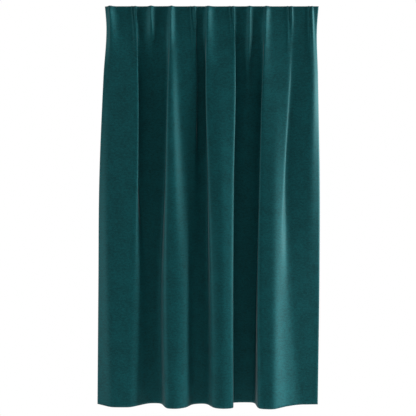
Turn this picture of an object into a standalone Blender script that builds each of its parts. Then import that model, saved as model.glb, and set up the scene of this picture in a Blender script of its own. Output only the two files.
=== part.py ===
# Velvet curtain panel with a sewn-on heading tape, hanging open from its top edge.
# Metres, +Z up. The origin is the middle of the top edge, and the room side faces -Y.

import math

import bpy
import numpy as np

MM = 0.001

# The velvet panel, in millimetres
DROP = 2290
CLOTH = 2.0
HEM_CLOTH = 3.0
HEM_DEPTH = 80
HEM_STEP = 6

# The heading tape behind the top edge, in millimetres
TAPE_TOP = 4
TAPE_WIDTH = 75
TAPE_CLOTH = 1.0
SEWN_GAP = 0.3

# Depths below the top edge, in millimetres, at which the folds are laid out
LEVELS = dict(top=0, heading=100, upper=400, middle=1000, lower=1600, hem=DROP)
LEVEL_DEPTHS = list(LEVELS.values())

# One row for each fold line, from the left edge to the right edge, in millimetres.
# across   distance from the middle of the top edge, at each level
# forward  distance in front of the plane that the heading hangs in, at each level
# ridge    how far the pinched ridge on this fold line stands out just below the top edge
# fade     depth below the top edge at which that ridge has melted away
# lean     length of the ridge's right flank against its left one
FOLDS = [
    # name             across, top to hem                      forward, top to hem           ridge, fade, lean
    ("left_edge",   (-613, -605, -620, -646, -654, -662),   (-4, -2, 4, -4, -19, -34),         0,   0, 1),
    ("a_left",      (-584, -578, -585, -601, -594, -574),   (0, 4, 12, 16, 20, 24),           28, 400, 1.7),
    ("a_right",     (-438, -429, -415, -416, -439, -463),   (2, 6, 20, 26, 18, 25),           10, 420, 0.8),
    ("ab_left",     (-419, -425, -441, -431, -376, -369),   (0, -2, -30, -38, -39, -44),       0,   0, 1),
    ("ab_middle",   (-347, -346, -347, -345, -342, -339),   (1, 0, -24, -37, -43, -47),       27, 320, 0.8),
    ("ab_right",    (-259, -254, -250, -267, -298, -294),   (3, 1, -28, -38, -44, -45),        0,   0, 1),
    ("b_left",      (-230, -233, -252, -266, -271, -258),   (2, 9, 26, 35, 36, 46),           24, 380, 0.9),
    ("b_crest",     (-222, -222, -224, -210, -195, -197),   (1, 7, 27, 39, 39, 52),            0,   0, 1),
    ("b_foot",      (-199, -196, -193, -165, -150, -144),   (0, 4, 7, 6, 24, 28),              0,   0, 1),
    ("b_right",     (-100, -92, -79, -97, -111, -113),      (1, 5, 1, -14, -19, -27),         11, 380, 0.8),
    ("bc_left",     (-82, -87, -97, -76, -74, -80),         (1, -1, -36, -38, -34, -37),       0,   0, 1),
    ("bc_right",    (-46, -42, -33, -21, -23, -30),         (1, -1, -36, -40, -40, -38),       0,   0, 1),
    ("c_left",      (-22, -28, -38, -25, -6, 11),           (0, 6, 22, 30, 36, 38),           22, 480, 2.0),
    ("c_middle",    (47, 47, 41, 52, 57, 66),               (0, 5, 24, 43, 55, 52),            0,   0, 1),
    ("c_right",     (123, 132, 140, 132, 128, 127),         (2, 8, 24, 30, 40, 39),            9, 400, 0.8),
    ("cd_left",     (142, 132, 120, 109, 104, 116),         (0, -3, -34, -44, -54, -56),       0,   0, 1),
    ("cd_middle",   (215, 214, 207, 205, 191, 185),         (1, 0, -17, -42, -56, -61),       18, 740, 1.3),
    ("cd_right",    (288, 293, 300, 286, 266, 249),         (2, 0, -34, -46, -56, -58),        0,   0, 1),
    ("d_left",      (312, 304, 285, 266, 255, 262),         (0, 5, 17, 33, 38, 50),           18, 560, 1.8),
    ("d_middle",    (391, 388, 378, 358, 355, 347),         (0, 4, 11, 34, 41, 61),            0,   0, 1),
    ("d_right",     (457, 458, 452, 425, 405, 430),         (2, 4, 7, 13, 13, 7),              7, 240, 0.8),
    ("e_left",      (477, 468, 449, 408, 439, 503),         (0, 1, -3, -14, -7, -22),          0,   0, 1),
    ("e_right",     (573, 575, 582, 574, 571, 567),         (1, 4, 12, -4, -14, -24),          9, 400, 0.8),
    ("right_edge",  (612, 604, 610, 622, 620, 612),         (0, 0, -6, -17, -18, -26),         0,   0, 1),
]

# How softly the cloth turns at its folds, in millimetres, at the same levels
SOFTNESS = (4, 7, 11, 15, 18, 18)
RIDGE_CREST_RADIUS = 2.4
RIDGE_SPREAD = 1.6

# The top edge holds its ridges flatter: their share there, and the depth where they stand in full
EDGE_SHARE = 0.5
EDGE_DEPTH = 25

# Facets of the solids, in millimetres
TAPE_ROWS = tuple(TAPE_TOP + TAPE_WIDTH * share for share in (0, 1 / 3, 2 / 3, 1))
ROWS = (0, *TAPE_ROWS, 115, 160, 215, 285, 370, 470, 600, 760, 940, 1140, 1350, 1570, 1780, 1980,
        DROP - HEM_DEPTH - HEM_STEP, DROP - HEM_DEPTH, DROP)
RIDGE_COLUMNS = (4.5, 9.5, 18)
NARROWEST_COLUMN = 4
COLUMN_STEP = 34


def at_depth(values, depth):
    """Value at a depth below the top edge, on a smooth curve through the levels."""
    slopes = np.gradient(np.array(values, float), LEVEL_DEPTHS)
    i = min(int(np.searchsorted(LEVEL_DEPTHS, depth, side="right")) - 1, len(values) - 2)
    span = LEVEL_DEPTHS[i + 1] - LEVEL_DEPTHS[i]
    t = (depth - LEVEL_DEPTHS[i]) / span
    ends = values[i] * (1 + 2 * t) * (1 - t) ** 2 + values[i + 1] * t * t * (3 - 2 * t)
    return ends + span * (slopes[i] * t * (1 - t) ** 2 + slopes[i + 1] * t * t * (t - 1))


def along(line, run, at):
    """Points at given lengths along a line of straight runs, which go on past its ends."""
    inside = np.clip(at, run[0], run[-1])
    points = np.stack([np.interp(inside, run, line[:, k]) for k in (0, 1)], axis=1)
    first = (line[1] - line[0]) / (run[1] - run[0])
    last = (line[-1] - line[-2]) / (run[-1] - run[-2])
    beyond = (at - inside)[:, None]
    return points + np.where(beyond < 0, beyond * first, beyond * last)


def cloth_line(depth, places, ridges=True):
    """Across and forward of the velvet's face at one depth. A place counts fold lines: 2.5 is
    halfway from the third to the fourth."""
    folds = np.array([(at_depth(row[1], depth), at_depth(row[2], depth)) for row in FOLDS])
    run = np.concatenate([[0], np.cumsum(np.hypot(*np.diff(folds, axis=0).T))])
    at = np.interp(places, range(len(FOLDS)), run)
    softness = at_depth(SOFTNESS, depth)
    shares = np.linspace(-2.5, 2.5, 21)
    weights = np.exp(-shares ** 2 / 2)
    line = sum(w * along(folds, run, at + k * softness) for w, k in zip(weights, shares))
    line /= weights.sum()
    for i, (name, across, forward, ridge, fade, lean) in enumerate(FOLDS):
        if ridges and depth < fade:
            gone = depth / fade
            height = ridge * (1 - gone * gone * (3 - 2 * gone))
            height *= np.interp(depth, (0, EDGE_DEPTH), (EDGE_SHARE, 1))
            width = math.sqrt(2 * ridge * RIDGE_CREST_RADIUS) * (1 + RIDGE_SPREAD * gone)
            width = width * np.where(at > run[i], max(lean, 1), max(1 / lean, 1))
            line[:, 1] += height * np.exp(-((at - run[i]) / width) ** 2)
    return line


def columns():
    """Places of the solids' columns, close together beside each ridge."""
    places = []
    for i, (row, following) in enumerate(zip(FOLDS, FOLDS[1:])):
        length = following[1][0] - row[1][0]
        longest = max(np.hypot(np.subtract(following[1], row[1]), np.subtract(following[2], row[2])))
        limit = length / 2 if row[3] and following[3] else length - NARROWEST_COLUMN
        marks = [0, length]
        if row[3]:
            marks += [m for m in RIDGE_COLUMNS if m < limit]
        if following[3]:
            marks += [length - m for m in RIDGE_COLUMNS if m < limit]
        marks.sort()
        for low, high in zip(marks, marks[1:]):
            steps = math.ceil((high - low) / length * longest / COLUMN_STEP)
            places += [i + (low + (high - low) * k / steps) / length for k in range(steps)]
    return np.array(places + [len(FOLDS) - 1])


def face_grid(depths, places, ridges=True):
    """Points of the velvet's face: a row for each depth, a column for each place."""
    rows = [cloth_line(depth, places, ridges) for depth in depths]
    return np.array([[(x, -y, -depth) for x, y in line] for depth, line in zip(depths, rows)])


def pushed_back(grid, distance):
    """The same grid, moved back square to the cloth."""
    down = np.gradient(grid, axis=0)
    right = np.gradient(grid, axis=1)
    back = np.cross(right, down)
    back /= np.linalg.norm(back, axis=2, keepdims=True)
    return grid + back * distance


def sheet(name, grid, thickness, material):
    """A closed sheet of cloth whose room side is the grid."""
    height, width = grid.shape[:2]
    faces = []
    for r in range(height - 1):
        for c in range(width - 1):
            a = r * width + c
            faces += [(a, a + width, a + width + 1), (a, a + width + 1, a + 1)]
    mesh = bpy.data.meshes.new(name)
    mesh.from_pydata((grid.reshape(-1, 3) * MM).tolist(), [], faces)
    mesh.shade_smooth()
    mesh.materials.append(material)
    obj = bpy.data.objects.new(name, mesh)
    bpy.context.scene.collection.objects.link(obj)
    solid = obj.modifiers.new("Cloth thickness", "SOLIDIFY")
    solid.thickness = thickness * MM
    solid.offset = -1
    solid.use_even_offset = True
    return obj


def cloth_material(name, color, roughness, sheen):
    material = bpy.data.materials.new(name)
    material.use_nodes = True
    shader = material.node_tree.nodes["Principled BSDF"]
    shader.inputs["Base Color"].default_value = (*color, 1)
    shader.inputs["Roughness"].default_value = roughness
    shader.inputs["Metallic"].default_value = 0
    shader.inputs["Sheen Weight"].default_value = sheen
    return material


def panel(places):
    """The velvet with its turned hem, which is one fold of cloth thicker."""
    velvet = cloth_material("velvet", (0.004, 0.052, 0.057), 0.9, 0.6)
    obj = sheet("panel", face_grid(ROWS, places), HEM_CLOTH, velvet)
    layers = obj.vertex_groups.new(name="cloth_layers")
    for r, depth in enumerate(ROWS):
        share = 1 if depth >= DROP - HEM_DEPTH else CLOTH / HEM_CLOTH
        layers.add(range(r * len(places), (r + 1) * len(places)), share, "REPLACE")
    obj.modifiers["Cloth thickness"].vertex_group = layers.name


def heading_tape(places):
    """The woven tape that holds the pleats: it runs behind them, from side to side."""
    woven = cloth_material("woven_tape", (0.03, 0.11, 0.12), 0.85, 0.1)
    inner = places[(places >= 1) & (places <= len(FOLDS) - 2)]
    grid = face_grid(TAPE_ROWS, inner, ridges=False)
    sheet("heading_tape", pushed_back(grid, CLOTH + SEWN_GAP), TAPE_CLOTH, woven)


for old in list(bpy.data.objects):
    bpy.data.objects.remove(old)
column_places = columns()
panel(column_places)
heading_tape(column_places)
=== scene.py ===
import math

import bpy
import numpy as np
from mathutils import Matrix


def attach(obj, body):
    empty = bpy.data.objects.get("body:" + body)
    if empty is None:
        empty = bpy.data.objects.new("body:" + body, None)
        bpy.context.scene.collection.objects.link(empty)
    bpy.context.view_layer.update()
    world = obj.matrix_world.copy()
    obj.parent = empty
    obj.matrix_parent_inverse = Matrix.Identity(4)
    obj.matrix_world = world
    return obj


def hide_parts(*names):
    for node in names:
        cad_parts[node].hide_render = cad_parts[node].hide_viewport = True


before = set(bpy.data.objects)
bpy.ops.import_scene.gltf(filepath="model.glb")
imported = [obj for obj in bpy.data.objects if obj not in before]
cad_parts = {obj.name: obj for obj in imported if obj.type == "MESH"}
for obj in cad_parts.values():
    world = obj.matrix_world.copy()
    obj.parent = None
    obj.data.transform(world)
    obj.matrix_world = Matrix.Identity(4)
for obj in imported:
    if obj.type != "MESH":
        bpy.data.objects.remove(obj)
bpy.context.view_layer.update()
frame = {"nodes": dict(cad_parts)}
scene = bpy.context.scene
mm = 0.001
# points along a line of folds where its length is measured
samples = 4000
print("frame loaded:", ", ".join(frame["nodes"]))

# Where the photograph was taken from: level, facing the panel, a little left of its middle
photo = {
    "distance": 3.33,
    "right": -0.0218,
    "below top edge": 1.156,
    "seen width": 2.3845,
}

# The velvet, in millimetres. Depths run down from the top edge, and forward is towards the room.
velvetCloth = {
    "drop": 2290,
    "thickness": 1.8,
    "levels": (0, 100, 400, 1000, 1600, 2290),
    # how softly the cloth turns at its folds, at each level
    "softness": (4, 7, 11, 15, 18, 18),
    "ridge crest": 2.4,
    "ridge spread": 1.6,
    "edge share": 0.5,
    "edge depth": 25,
    "hem depth": 80,
    "side turning": 20,
    "turned in": 1.5,
    "columns": 330,
    # how strongly columns crowd beside a ridge or a crease, and how far on each side
    "crowding": 0.06,
    "ridge reach": 9,
    "crease reach": 6,
    # rows lie close together down to the first depth, and evenly from the second one to the hem
    "close rows": (36, 320),
    "even rows": (100, 336),
    "hem rows": 5,
    # rows from the hem's upper edge: how far off the last even row stops, the close ones, and the
    # first row of the hem itself
    "above hem": 18,
    "beside hem edge": (-6, -2.4, -1.6, -0.8, 0, 0.8, 4),
    "into hem": 20,
    # where the cloth steps back at the edges of its turnings
    "side step": 5,
    "hem step": 1.6,
    # name, across and forward at each level, ridge at the top edge, depth where the ridge is gone,
    # and the length of the ridge's right flank against its left
    "folds": [
        ("leftEdge", (-613, -605, -620, -646, -654, -662), (-4, -2, 4, -4, -19, -34), 0, 0, 1),
        ("aLeft", (-584, -578, -585, -601, -594, -574), (0, 4, 12, 16, 20, 24), 28, 400, 1.7),
        ("aRight", (-438, -429, -415, -416, -439, -463), (2, 6, 20, 26, 18, 25), 10, 420, 0.8),
        ("abLeft", (-419, -425, -441, -431, -376, -369), (0, -2, -30, -38, -39, -44), 0, 0, 1),
        ("abMiddle", (-347, -346, -347, -345, -342, -339), (1, 0, -24, -37, -43, -47), 27, 320, 0.8),
        ("abRight", (-259, -254, -250, -267, -298, -294), (3, 1, -28, -38, -44, -45), 0, 0, 1),
        ("bLeft", (-230, -233, -252, -266, -271, -258), (2, 9, 26, 35, 36, 46), 24, 380, 0.9),
        ("bCrest", (-222, -222, -224, -210, -195, -197), (1, 7, 27, 39, 39, 52), 0, 0, 1),
        ("bFoot", (-199, -196, -193, -165, -150, -144), (0, 4, 7, 6, 24, 28), 0, 0, 1),
        ("bRight", (-100, -92, -79, -97, -111, -113), (1, 5, 1, -14, -19, -27), 11, 380, 0.8),
        ("bcLeft", (-82, -87, -97, -76, -74, -80), (1, -1, -36, -38, -34, -37), 0, 0, 1),
        ("bcRight", (-46, -42, -33, -21, -23, -30), (1, -1, -36, -40, -40, -38), 0, 0, 1),
        ("cLeft", (-22, -28, -38, -25, -6, 11), (0, 6, 22, 30, 36, 38), 22, 480, 2.0),
        ("cMiddle", (47, 47, 41, 52, 57, 66), (0, 5, 24, 43, 55, 52), 0, 0, 1),
        ("cRight", (123, 132, 140, 132, 128, 127), (2, 8, 24, 30, 40, 39), 9, 400, 0.8),
        ("cdLeft", (142, 132, 120, 109, 104, 116), (0, -3, -34, -44, -54, -56), 0, 0, 1),
        ("cdMiddle", (215, 214, 207, 205, 191, 185), (1, 0, -17, -42, -56, -61), 18, 740, 1.3),
        ("cdRight", (288, 293, 300, 286, 266, 249), (2, 0, -34, -46, -56, -58), 0, 0, 1),
        ("dLeft", (312, 304, 285, 266, 255, 262), (0, 5, 17, 33, 38, 50), 18, 560, 1.8),
        ("dMiddle", (391, 388, 378, 358, 355, 347), (0, 4, 11, 34, 41, 61), 0, 0, 1),
        ("dRight", (457, 458, 452, 425, 405, 430), (2, 4, 7, 13, 13, 7), 7, 240, 0.8),
        ("eLeft", (477, 468, 449, 408, 439, 503), (0, 1, -3, -14, -7, -22), 0, 0, 1),
        ("eRight", (573, 575, 582, 574, 571, 567), (1, 4, 12, -4, -14, -24), 9, 400, 0.8),
        ("rightEdge", (612, 604, 610, 622, 620, 612), (0, 0, -6, -17, -18, -26), 0, 0, 1),
    ],
    # fold, distance of a narrow crease from it, height of the crease, depth where it is gone
    "creases": [
        ("aRight", -19, 4.0, 330),
        ("bRight", -22, 4.0, 360),
        ("cRight", -20, 4.0, 300),
        ("dRight", -23, 4.0, 300),
        ("eRight", -18, 5.0, 360),
    ],
    "crease width": 5.0,
}


def atDepth(values, depth):
    # a value between the levels, on a smooth curve through them
    levels = velvetCloth["levels"]
    slopes = np.gradient(np.array(values, float), levels)
    i = min(int(np.searchsorted(levels, depth, side="right")) - 1, len(values) - 2)
    span = levels[i + 1] - levels[i]
    t = (depth - levels[i]) / span
    ends = values[i] * (1 + 2 * t) * (1 - t) ** 2 + values[i + 1] * t * t * (3 - 2 * t)
    return ends + span * (slopes[i] * t * (1 - t) ** 2 + slopes[i + 1] * t * t * (t - 1))


def alongLine(line, run, at):
    # points at lengths along a line of straight runs, which go on past its ends
    inside = np.clip(at, run[0], run[-1])
    points = np.stack([np.interp(inside, run, line[:, k]) for k in (0, 1)], axis=1)
    first = (line[1] - line[0]) / (run[1] - run[0])
    last = (line[-1] - line[-2]) / (run[-1] - run[-2])
    beyond = (at - inside)[:, None]
    return points + np.where(beyond < 0, beyond * first, beyond * last)


def clothLine(depth, places, ridges=True):
    # across and forward of the face at one depth; place 2.5 is halfway between folds 2 and 3
    folds = velvetCloth["folds"]
    line = np.array([(atDepth(row[1], depth), atDepth(row[2], depth)) for row in folds])
    run = np.concatenate([[0], np.cumsum(np.hypot(*np.diff(line, axis=0).T))])
    at = np.interp(places, range(len(folds)), run)
    shares = np.linspace(-2.5, 2.5, 21)
    weights = np.exp(-shares ** 2 / 2)
    soft = atDepth(velvetCloth["softness"], depth)
    points = sum(w * alongLine(line, run, at + k * soft) for w, k in zip(weights, shares))
    points /= weights.sum()
    for i, (name, across, forward, ridge, fade, lean) in enumerate(folds):
        if ridges and depth < fade:
            gone = depth / fade
            height = ridge * (1 - gone * gone * (3 - 2 * gone))
            height *= np.interp(depth, (0, velvetCloth["edge depth"]), (velvetCloth["edge share"], 1))
            width = math.sqrt(2 * ridge * velvetCloth["ridge crest"])
            width *= 1 + velvetCloth["ridge spread"] * gone
            width = width * np.where(at > run[i], max(lean, 1), max(1 / lean, 1))
            points[:, 1] += height * np.exp(-((at - run[i]) / width) ** 2)
    names = [row[0] for row in folds]
    for name, aside, height, fade in velvetCloth["creases"]:
        if ridges and depth < fade:
            width = velvetCloth["crease width"] * (1 + depth / fade)
            middle = run[names.index(name)] + aside
            height = height * math.cos(math.pi / 2 * depth / fade)
            points[:, 1] += height * np.exp(-((at - middle) / width) ** 2)
    return points


def faceGrid(depths, places, ridges=True):
    grid = []
    for depth in depths:
        grid.append([(x, -y, -depth) for x, y in clothLine(depth, places, ridges)])
    return np.array(grid)


def backward(grid):
    # unit vectors square to the cloth, pointing away from the room
    back = np.cross(np.gradient(grid, axis=1), np.gradient(grid, axis=0))
    return back / np.linalg.norm(back, axis=2, keepdims=True)


def clothWidths(grid):
    # length along the cloth from its left edge, for every point
    steps = np.linalg.norm(np.diff(grid, axis=1), axis=2)
    return np.concatenate([np.zeros((len(grid), 1)), np.cumsum(steps, axis=1)], axis=1)


def closedSheet(name, front, back, across, material):
    # a sheet with a rounded rim; its UV map is the flat cloth in metres
    height, width = front.shape[:2]
    count = height * width
    rim = [(0, c) for c in range(width)] + [(r, width - 1) for r in range(1, height)]
    rim += [(height - 1, c) for c in range(width - 2, -1, -1)]
    rim += [(r, 0) for r in range(height - 2, 0, -1)]
    rimRows, rimColumns = np.array(rim).T
    edge = (front[rimRows, rimColumns] + back[rimRows, rimColumns]) / 2
    thick = np.linalg.norm(front[rimRows, rimColumns] - back[rimRows, rimColumns], axis=1)
    outward = np.zeros((len(rim), 3))
    outward[rimRows == 0, 2] = 1
    outward[rimRows == height - 1, 2] = -1
    outward[rimColumns == 0, 0] = -1
    outward[rimColumns == width - 1, 0] = 1
    # the rim stands out by this share of the cloth's thickness
    roundness = 0.3
    edge += outward * thick[:, None] * roundness
    points = np.concatenate([front.reshape(-1, 3), back.reshape(-1, 3), edge]) * mm
    a = (np.arange(height - 1)[:, None] * width + np.arange(width - 1)).ravel()
    facing = np.stack([a, a + width, a + width + 1, a + 1], axis=1)
    behind = facing[:, ::-1] + count
    onRim = rimRows * width + rimColumns
    nextRim = np.roll(onRim, -1)
    bead = 2 * count + np.arange(len(rim))
    nextBead = np.roll(bead, -1)
    sides = np.concatenate([
        np.stack([onRim, nextRim, nextBead, bead], axis=1),
        np.stack([bead, nextBead, nextRim + count, onRim + count], axis=1),
    ])
    faces = np.concatenate([facing, behind, sides])
    mesh = bpy.data.meshes.new(name)
    mesh.from_pydata(points.tolist(), [], faces.tolist())
    flat = np.stack([across, -front[:, :, 2]], axis=2).reshape(-1, 2) * mm
    flat = np.concatenate([flat, flat, flat[onRim]])
    layer = mesh.uv_layers.new(name="cloth")
    layer.data.foreach_set("uv", flat[faces.ravel()].ravel())
    mesh.shade_smooth()
    mesh.materials.append(material)
    piece = bpy.data.objects.new(name, mesh)
    scene.collection.objects.link(piece)
    return piece


# One socket of a shader: a sum written with it adds its Math nodes
class Wire:
    def __init__(self, tree, socket):
        self.tree = tree
        self.socket = socket

    def reckon(self, operation, first, second):
        return self.tree.node("ShaderNodeMath", {"operation": operation}, {0: first, 1: second})

    def __add__(self, other):
        return self.reckon("ADD", self, other)

    def __mul__(self, other):
        return self.reckon("MULTIPLY", self, other)


class Finish:
    def __init__(self, name):
        self.material = bpy.data.materials.new(name)
        self.material.use_nodes = True
        self.nodes = self.material.node_tree.nodes
        self.links = self.material.node_tree.links
        self.shader = self.nodes["Principled BSDF"]

    def node(self, kind, settings, inputs, output=0):
        made = self.nodes.new(kind)
        for key, value in settings.items():
            if key == "stops":
                ramp = made.color_ramp
                while len(ramp.elements) < len(value):
                    ramp.elements.new(0.5)
                for element, (place, shade) in zip(ramp.elements, value):
                    element.position = place
                    element.color = (*shade, 1)
            else:
                setattr(made, key, value)
        for key, value in inputs.items():
            self.plug(made.inputs[key], value)
        return Wire(self, made.outputs[output])

    def plug(self, socket, value):
        if isinstance(value, Wire):
            self.links.new(value.socket, socket)
        else:
            socket.default_value = value

    def mix(self, share, first, second):
        inputs = {"Factor": share, 6: first, 7: second}
        return self.node("ShaderNodeMix", {"data_type": "RGBA"}, inputs, output=2)

    def noise(self, vector, scale, detail=2, roughness=0.5):
        inputs = {"Vector": vector, "Scale": scale, "Detail": detail, "Roughness": roughness}
        return self.node("ShaderNodeTexNoise", {}, inputs)

    def cloth(self):
        return self.node("ShaderNodeUVMap", {"uv_map": "cloth"}, {})

    def stretched(self, vector, scale):
        return self.node("ShaderNodeVectorMath", {"operation": "MULTIPLY"}, {0: vector, 1: scale})

    def spread(self, value, low, high):
        inputs = {"Value": value, "From Min": low, "From Max": high}
        return self.node("ShaderNodeMapRange", {}, inputs)

    def waves(self, vector, direction, pitch):
        # 0 to 1 and back once in each pitch, in metres
        inputs = {"Vector": vector, "Scale": math.pi / 10 / pitch, "Distortion": 0.0}
        return self.node("ShaderNodeTexWave", {"bands_direction": direction}, inputs, output=1)

    def bump(self, height, strength, distance):
        inputs = {"Height": height, "Strength": strength, "Distance": distance}
        return self.node("ShaderNodeBump", {}, inputs)

    def set(self, **values):
        sockets = {key.replace(" ", "").lower(): key for key in self.shader.inputs.keys()}
        for name, value in values.items():
            self.plug(self.shader.inputs[sockets[name.lower()]], value)


def screen(red, green, blue):
    # a colour as a screen shows it, from 0 to 255, made linear
    shares = [c / 255 for c in (red, green, blue)]
    return [c / 12.92 if c < 0.04045 else ((c + 0.055) / 1.055) ** 2.4 for c in shares]


velvetLook = {
    "pile": screen(15, 91, 96),
    "pile dark": screen(8, 58, 62),
    "roughness": 0.58,
    "roughness spread": 0.1,
    "shine": 0.45,
    "shine tint": (0.28, 0.95, 1.0),
    "sheen": 0.42,
    "sheen roughness": 0.3,
    "sheen tint": (0.92, 0.92, 0.96),
    "cloud size": 0.08,
    "slub size": 0.012,
    "tuft size": 0.0055,
    "pile size": 0.0008,
    "bump": 0.3,
    # shares of the clouds, slubs and tufts in the way the pile leans
    "lean shares": (0.2, 0.35, 0.45),
    # share of the single threads of the pile in its colour and in its relief
    "pile in colour": 0.2,
    "pile in relief": 0.7,
}


def velvetFinish():
    look = velvetLook
    finish = Finish("velvet")
    cloth = finish.cloth()
    clouds = finish.noise(cloth, 1 / look["cloud size"], 3, 0.5)
    # faint slubs run across the cloth, and the pile leans this way and that in small tufts
    slubs = finish.noise(finish.stretched(cloth, (0.7, 1.2, 1)), 1 / look["slub size"], 2, 0.6)
    tufts = finish.noise(cloth, 1 / look["tuft size"], 3, 0.7)
    pile = finish.noise(finish.stretched(cloth, (1.3, 0.6, 1)), 1 / look["pile size"], 1, 0.5)
    cloudShare, slubShare, tuftShare = look["lean shares"]
    lean = finish.spread(clouds * cloudShare + slubs * slubShare + tufts * tuftShare, 0.4, 0.6)
    inColour, inRelief = look["pile in colour"], look["pile in relief"]
    grain = finish.spread(lean * (1 - inColour) + pile * inColour, 0.1, 0.9)
    finish.set(baseColor=finish.mix(grain, (*look["pile dark"], 1), (*look["pile"], 1)))
    rough = lean * look["roughness spread"] + (look["roughness"] - look["roughness spread"] / 2)
    bump = finish.bump(pile * inRelief + tufts * (1 - inRelief), look["bump"], 0.0008)
    finish.set(normal=bump, roughness=rough)
    finish.set(specularTint=(*look["shine tint"], 1), specularIORLevel=look["shine"])
    finish.set(sheenWeight=look["sheen"], sheenRoughness=look["sheen roughness"])
    finish.set(sheenTint=(*look["sheen tint"], 1))
    return finish.material


def velvetPanel():
    cloth = velvetCloth
    last = len(cloth["folds"]) - 1
    fine = np.linspace(0, last, samples)
    topLine = clothLine(0, fine, False)
    topRun = np.concatenate([[0], np.cumsum(np.hypot(*np.diff(topLine, axis=0).T))])
    hemLine = clothLine(cloth["drop"], fine, False)
    hemRun = np.concatenate([[0], np.cumsum(np.hypot(*np.diff(hemLine, axis=0).T))])
    # columns follow the cloth's width at the hem, with as many again beside the ridges
    crowd = hemRun / hemRun[-1] + topRun / topRun[-1]
    names = [row[0] for row in cloth["folds"]]
    pinches = [(i, 0, cloth["ridge reach"]) for i, row in enumerate(cloth["folds"]) if row[3]]
    for name, aside, height, fade in cloth["creases"]:
        pinches.append((names.index(name), aside, cloth["crease reach"]))
    for i, aside, reach in pinches:
        beside = topRun - np.interp(i, fine, topRun) - aside
        crowd += cloth["crowding"] * np.tanh(beside / reach)
    places = np.interp(np.linspace(crowd[0], crowd[-1], cloth["columns"]), crowd, fine)
    places[0], places[-1] = 0, last
    hemTop = cloth["drop"] - cloth["hem depth"]
    closeRows, closeDepth = cloth["close rows"]
    evenRows, evenDepth = cloth["even rows"]
    depths = np.concatenate([
        np.linspace(0, closeDepth, closeRows),
        np.linspace(evenDepth, hemTop - cloth["above hem"], evenRows),
        hemTop + np.array(cloth["beside hem edge"]),
        np.linspace(hemTop + cloth["into hem"], cloth["drop"], cloth["hem rows"]),
    ])
    front = faceGrid(depths, places)
    across = clothWidths(front)
    # the hem and the side edges are turned to the back, so the cloth is thicker there
    fromSide = np.minimum(across, across[:, -1:] - across)
    turned = np.clip((cloth["side turning"] - fromSide) / cloth["side step"], 0, 1)
    inHem = np.clip((depths - hemTop + cloth["hem step"]) / cloth["hem step"], 0, 1)
    turned = np.maximum(turned, inHem[:, None])
    thickness = cloth["thickness"] + cloth["turned in"] * turned
    back = front + backward(front) * thickness[:, :, None]
    piece = closedSheet("velvet_panel", front, back, across, velvetFinish())
    print("velvet panel: flat width", round(across[0, -1]), "at the top,", round(across[-1, -1]),
          "at the hem,", len(depths), "rows")
    return piece, back, across, depths


# The heading tape behind the top edge, in millimetres, from the second fold to the last but one
tapeCloth = {
    "top": 4,
    "width": 75,
    "behind face": 2.3,
    "thickness": 1.0,
    "columns": 320,
    "rows": 13,
    "colour": screen(30, 84, 88),
    "dark yarn": screen(20, 62, 66),
    "rib": 1.4,
    "yarn": 0.6,
    # specks of fuzz in a metre
    "fuzz": 900,
}


def tapeFinish():
    look = tapeCloth
    finish = Finish("woven_tape")
    cloth = finish.cloth()
    ribs = finish.waves(cloth, "X", look["rib"] * mm)
    picks = finish.waves(cloth, "Y", look["yarn"] * mm)
    fuzz = finish.noise(finish.stretched(cloth, (1, 0.2, 1)), look["fuzz"], 2, 0.6)
    weave = ribs * 0.6 + picks * 0.4
    shade = finish.spread(weave * 0.5 + fuzz * 0.5, 0.25, 0.75)
    finish.set(baseColor=finish.mix(shade, (*look["dark yarn"], 1), (*look["colour"], 1)))
    rough = fuzz * 0.1 + 0.72
    finish.set(roughness=rough, normal=finish.bump(weave, 0.5, 0.0005))
    finish.set(sheenWeight=0.1)
    return finish.material


def headingTape(material):
    tape = tapeCloth
    places = np.linspace(1, len(velvetCloth["folds"]) - 2, samples)
    run = clothWidths(faceGrid([tape["top"], tape["top"] + tape["width"]], places, False))[0]
    places = np.interp(np.linspace(0, run[-1], tape["columns"]), run, places)
    depths = tape["top"] + np.linspace(0, tape["width"], tape["rows"])
    base = faceGrid(depths, places, False)
    away = backward(base)
    front = base + away * tape["behind face"]
    back = front + away * tape["thickness"]
    across = clothWidths(front)
    piece = closedSheet("woven_heading_tape", front, back, across, material)
    print("heading tape: flat width", round(across[0, -1]))
    return piece, back, across, depths


# Machine stitches on the hidden side, in millimetres
stitching = {
    "pitch": 3.6,
    "length": 2.9,
    "thread": 0.32,
    "tape inset": 3.5,
    "hem inset": 4,
    "side inset": 16,
    # how high the thread lies on the cloth, against its thickness
    "lying": 0.4,
    # columns of the tape left free at each end
    "free columns": 3,
    # where the side rows start below the tape and end past the hem's upper edge
    "below tape": 8,
    "past hem edge": 2,
    "twists": 2500,
    "colour": screen(24, 74, 78),
}

# The woven loops that hooks go through, in millimetres
hookPockets = {
    "pitch": 24,
    "height": 15,
    "width": 8,
    "bulge": 1.6,
    "strap": 0.7,
    "below top edge": 40,
    # columns of the tape left free at each end
    "free columns": 8,
}


def seam(name, lines):
    # open lines of points, in millimetres, as a mesh of edges
    mesh = bpy.data.meshes.new(name)
    points, edges = [], []
    for line in lines:
        first = len(points)
        points += (line * mm).tolist()
        edges += [(first + k, first + k + 1) for k in range(len(line) - 1)]
    mesh.from_pydata(points, edges, [])
    piece = bpy.data.objects.new(name, mesh)
    scene.collection.objects.link(piece)
    return piece


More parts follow.
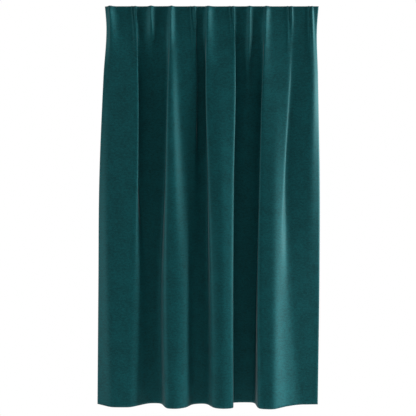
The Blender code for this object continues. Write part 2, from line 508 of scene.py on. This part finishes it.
# A Geometry Nodes tree that repeats one small shape along the lines of a mesh
class Repeat:
    def __init__(self, name, sockets):
        self.tree = bpy.data.node_groups.new(name, "GeometryNodeTree")
        self.tree.interface.new_socket("Geometry", in_out="OUTPUT", socket_type="NodeSocketGeometry")
        self.tree.interface.new_socket("Geometry", in_out="INPUT", socket_type="NodeSocketGeometry")
        for label, kind in sockets:
            self.tree.interface.new_socket(label, in_out="INPUT", socket_type="NodeSocket" + kind)
        self.inputs = self.tree.nodes.new("NodeGroupInput")

    def node(self, kind, settings, inputs):
        made = self.tree.nodes.new(kind)
        for key, value in settings.items():
            setattr(made, key, value)
        for key, value in inputs.items():
            if isinstance(value, bpy.types.NodeSocket):
                self.tree.links.new(value, made.inputs[key])
            elif isinstance(value, bpy.types.Node):
                self.tree.links.new(value.outputs[0], made.inputs[key])
            else:
                made.inputs[key].default_value = value
        return made

    def given(self, label):
        return self.inputs.outputs[label]

    def finishTree(self, shape, scale, along):
        lines = self.node("GeometryNodeMeshToCurve", {}, {"Mesh": self.given("Geometry")})
        steps = self.node("GeometryNodeResampleCurve", {"mode": "LENGTH"}, {
            "Curve": lines, "Length": self.given("Pitch")})
        tangent = self.node("GeometryNodeInputTangent", {}, {})
        turned = self.node("FunctionNodeAlignRotationToVector", {"axis": along}, {"Vector": tangent})
        copies = self.node("GeometryNodeInstanceOnPoints", {}, {
            "Points": steps, "Instance": shape, "Rotation": turned, "Scale": scale})
        real = self.node("GeometryNodeRealizeInstances", {}, {"Geometry": copies})
        coloured = self.node("GeometryNodeSetMaterial", {}, {
            "Geometry": real, "Material": self.given("Material")})
        output = self.tree.nodes.new("NodeGroupOutput")
        self.tree.links.new(coloured.outputs[0], output.inputs[0])

    def applyTo(self, piece, **values):
        modifier = piece.modifiers.new(self.tree.name, "NODES")
        modifier.node_group = self.tree
        for item in self.tree.interface.items_tree:
            if item.in_out == "INPUT" and item.name in values:
                modifier[item.identifier] = values[item.name]
        bpy.context.view_layer.update()
        result = piece.evaluated_get(bpy.context.evaluated_depsgraph_get())
        plain = bpy.data.meshes.new_from_object(result)
        piece.modifiers.remove(modifier)
        piece.data = plain
        return piece


def threadFinish():
    finish = Finish("thread")
    place = finish.node("ShaderNodeNewGeometry", {}, {})
    twist = finish.noise(place, stitching["twists"], 1, 0.5)
    finish.set(baseColor=(*stitching["colour"], 1), roughness=twist * 0.2 + 0.5)
    finish.set(sheenWeight=0.15)
    return finish.material


def stitches(panelBack, panelAcross, panelDepths, tapeBack, tapeAcross, tapeDepths):
    # rows along the tape's edges, the hem and both side turnings, laid on the hidden side
    hemTop = velvetCloth["drop"] - velvetCloth["hem depth"]
    lift = stitching["thread"] * stitching["lying"]
    start = tapeCloth["top"] + tapeCloth["width"] + stitching["below tape"]
    end = hemTop + stitching["past hem edge"]
    free = stitching["free columns"]

    def level(back, depths, depth):
        laid = back + backward(back) * lift
        k = np.interp(depth, depths, range(len(depths)))
        low = int(k)
        return laid[low] + (laid[low + 1] - laid[low]) * (k - low)

    def upright(inset, fromRight):
        laid = panelBack + backward(panelBack) * lift
        line = []
        for row, widths, depth in zip(laid, panelAcross, panelDepths):
            if start < depth < end:
                at = widths[-1] - inset if fromRight else inset
                line.append([np.interp(at, widths, row[:, k]) for k in range(3)])
        return np.array(line)

    inset = stitching["tape inset"]
    bottom = tapeCloth["top"] + tapeCloth["width"]
    lines = [
        level(tapeBack, tapeDepths, tapeCloth["top"] + inset)[free:-free],
        level(tapeBack, tapeDepths, bottom - inset)[free:-free],
        level(panelBack, panelDepths, hemTop + stitching["hem inset"]),
        upright(stitching["side inset"], False),
        upright(stitching["side inset"], True),
    ]
    piece = seam("stitching", lines)
    repeat = Repeat("stitch rows", (("Pitch", "Float"), ("Stitch Length", "Float"),
                                    ("Thread", "Float"), ("Material", "Material")))
    bead = repeat.node("GeometryNodeMeshUVSphere", {}, {"Segments": 6, "Rings": 4, "Radius": 1.0})
    half = repeat.node("ShaderNodeMath", {"operation": "MULTIPLY"}, {
        0: repeat.given("Stitch Length"), 1: 0.5})
    scale = repeat.node("ShaderNodeCombineXYZ", {}, {
        "X": half, "Y": repeat.given("Thread"), "Z": repeat.given("Thread")})
    repeat.finishTree(bead, scale, "X")
    repeat.applyTo(piece, **{
        "Pitch": stitching["pitch"] * mm, "Stitch Length": stitching["length"] * mm,
        "Thread": stitching["thread"] * mm, "Material": threadFinish()})
    print("stitches:", len(piece.data.polygons), "faces")
    return piece


def hookPocketRow(tapeBack, tapeDepths, material):
    # short straps woven onto the tape, each standing off a little in its middle
    pocket = hookPockets
    k = int(np.interp(pocket["below top edge"], tapeDepths, range(len(tapeDepths))))
    free = pocket["free columns"]
    piece = seam("hook_pockets", [tapeBack[k][free:-free]])
    repeat = Repeat("hook pockets", (("Pitch", "Float"), ("Height", "Float"), ("Width", "Float"),
                                     ("Bulge", "Float"), ("Strap", "Float"), ("Material", "Material")))
    up = repeat.node("ShaderNodeMath", {"operation": "MULTIPLY"}, {0: repeat.given("Height"), 1: 0.5})
    down = repeat.node("ShaderNodeMath", {"operation": "MULTIPLY"}, {0: repeat.given("Height"), 1: -0.5})
    ends = [repeat.node("ShaderNodeCombineXYZ", {}, {"Z": end}) for end in (down, up)]
    out = repeat.node("ShaderNodeMath", {"operation": "MULTIPLY"}, {0: repeat.given("Bulge"), 1: 2.0})
    middle = repeat.node("ShaderNodeCombineXYZ", {}, {"Y": out})
    arch = repeat.node("GeometryNodeCurveQuadraticBezier", {}, {
        "Resolution": 10, "Start": ends[0], "Middle": middle, "End": ends[1]})
    profile = repeat.node("GeometryNodeCurvePrimitiveQuadrilateral", {}, {
        "Width": repeat.given("Width"), "Height": repeat.given("Strap")})
    strap = repeat.node("GeometryNodeCurveToMesh", {}, {
        "Curve": arch, "Profile Curve": profile, "Fill Caps": True})
    repeat.finishTree(strap, (1.0, 1.0, 1.0), "X")
    repeat.applyTo(piece, **{
        "Pitch": pocket["pitch"] * mm, "Height": pocket["height"] * mm, "Width": pocket["width"] * mm,
        "Bulge": pocket["bulge"] * mm, "Strap": pocket["strap"] * mm, "Material": material})
    print("hook pockets:", len(piece.data.polygons), "faces")
    return piece


# Angles are round the panel: azimuth 0 is straight in front of it and 90 to its right
lighting = {
    "room glow": 0.25,
    "aim height": -1.15,
    "key azimuth": 88,
    "key height": 8,
    "key distance": 9.0,
    "key width": 4.5,
    "key tallness": 5.0,
    "key power": 1750,
    "fill azimuth": -76,
    "fill height": 4,
    "fill power": 320,
    "back azimuth": 165,
    "back height": 12,
    "back distance": 6.0,
    "back width": 3.0,
    "back power": 260,
}


def studio():
    world = bpy.data.worlds.new("studio")
    world.use_nodes = True
    scene.world = world
    nodes, links = world.node_tree.nodes, world.node_tree.links
    background = nodes["Background"]
    seen = nodes.new("ShaderNodeLightPath")
    glow = nodes.new("ShaderNodeMapRange")
    glow.inputs["To Min"].default_value = lighting["room glow"]
    glow.inputs["To Max"].default_value = 1.0
    links.new(seen.outputs["Is Camera Ray"], glow.inputs["Value"])
    links.new(glow.outputs[0], background.inputs["Strength"])
    background.inputs["Color"].default_value = (1, 1, 1, 1)

    def softLight(name, azimuth, elevation, distance, size, power):
        light = bpy.data.lights.new(name, "AREA")
        light.shape = "RECTANGLE"
        light.size, light.size_y = size
        light.energy = power
        lamp = bpy.data.objects.new(name, light)
        a, e = math.radians(azimuth), math.radians(elevation)
        lamp.location = (distance * math.sin(a) * math.cos(e),
                         -distance * math.cos(a) * math.cos(e),
                         lighting["aim height"] + distance * math.sin(e))
        lamp.rotation_euler = (math.pi / 2 - e, 0, a)
        scene.collection.objects.link(lamp)

    size = (lighting["key width"], lighting["key tallness"])
    softLight("key_light", lighting["key azimuth"], lighting["key height"],
              lighting["key distance"], size, lighting["key power"])
    softLight("fill_light", lighting["fill azimuth"], lighting["fill height"],
              lighting["key distance"], size, lighting["fill power"])
    softLight("back_light", lighting["back azimuth"], lighting["back height"],
              lighting["back distance"], (lighting["back width"], lighting["back width"]),
              lighting["back power"])


# A plain pale floor under the panel, in metres
stand = {
    "side": 2.3,
    "below hem": 1.1,
    "colour": (0.85, 0.85, 0.85),
    "glow": 0.12,
}


def floor():
    r = stand["side"] / 2
    z = -velvetCloth["drop"] * mm - stand["below hem"]
    mesh = bpy.data.meshes.new("floor")
    mesh.from_pydata([(-r, -r, z), (r, -r, z), (r, r, z), (-r, r, z)], [], [(0, 1, 2, 3)])
    paint = Finish("pale_floor")
    paint.set(baseColor=(*stand["colour"], 1), roughness=0.9)
    paint.set(emissionColor=(1, 1, 1, 1), emissionStrength=stand["glow"])
    mesh.materials.append(paint.material)
    piece = bpy.data.objects.new("floor", mesh)
    scene.collection.objects.link(piece)


def camera():
    lens = bpy.data.cameras.new("photo_camera")
    lens.angle = 2 * math.atan(photo["seen width"] / 2 / photo["distance"])
    viewer = bpy.data.objects.new("photo_camera", lens)
    viewer.location = (photo["right"], -photo["distance"], -photo["below top edge"])
    viewer.rotation_euler = (math.pi / 2, 0, 0)
    scene.collection.objects.link(viewer)
    scene.camera = viewer


camera()
studio()
floor()
scene.view_settings.view_transform = "Standard"
panel, panelBack, panelAcross, panelDepths = velvetPanel()
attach(panel, "root")
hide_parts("panel")
wovenTape = tapeFinish()
tape, tapeBack, tapeAcross, tapeDepths = headingTape(wovenTape)
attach(tape, "root")
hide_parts("heading_tape")
sewing = stitches(panelBack, panelAcross, panelDepths, tapeBack, tapeAcross, tapeDepths)
pockets = hookPocketRow(tapeBack, tapeDepths, wovenTape)
for piece in (sewing, pockets):
    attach(piece, "root")
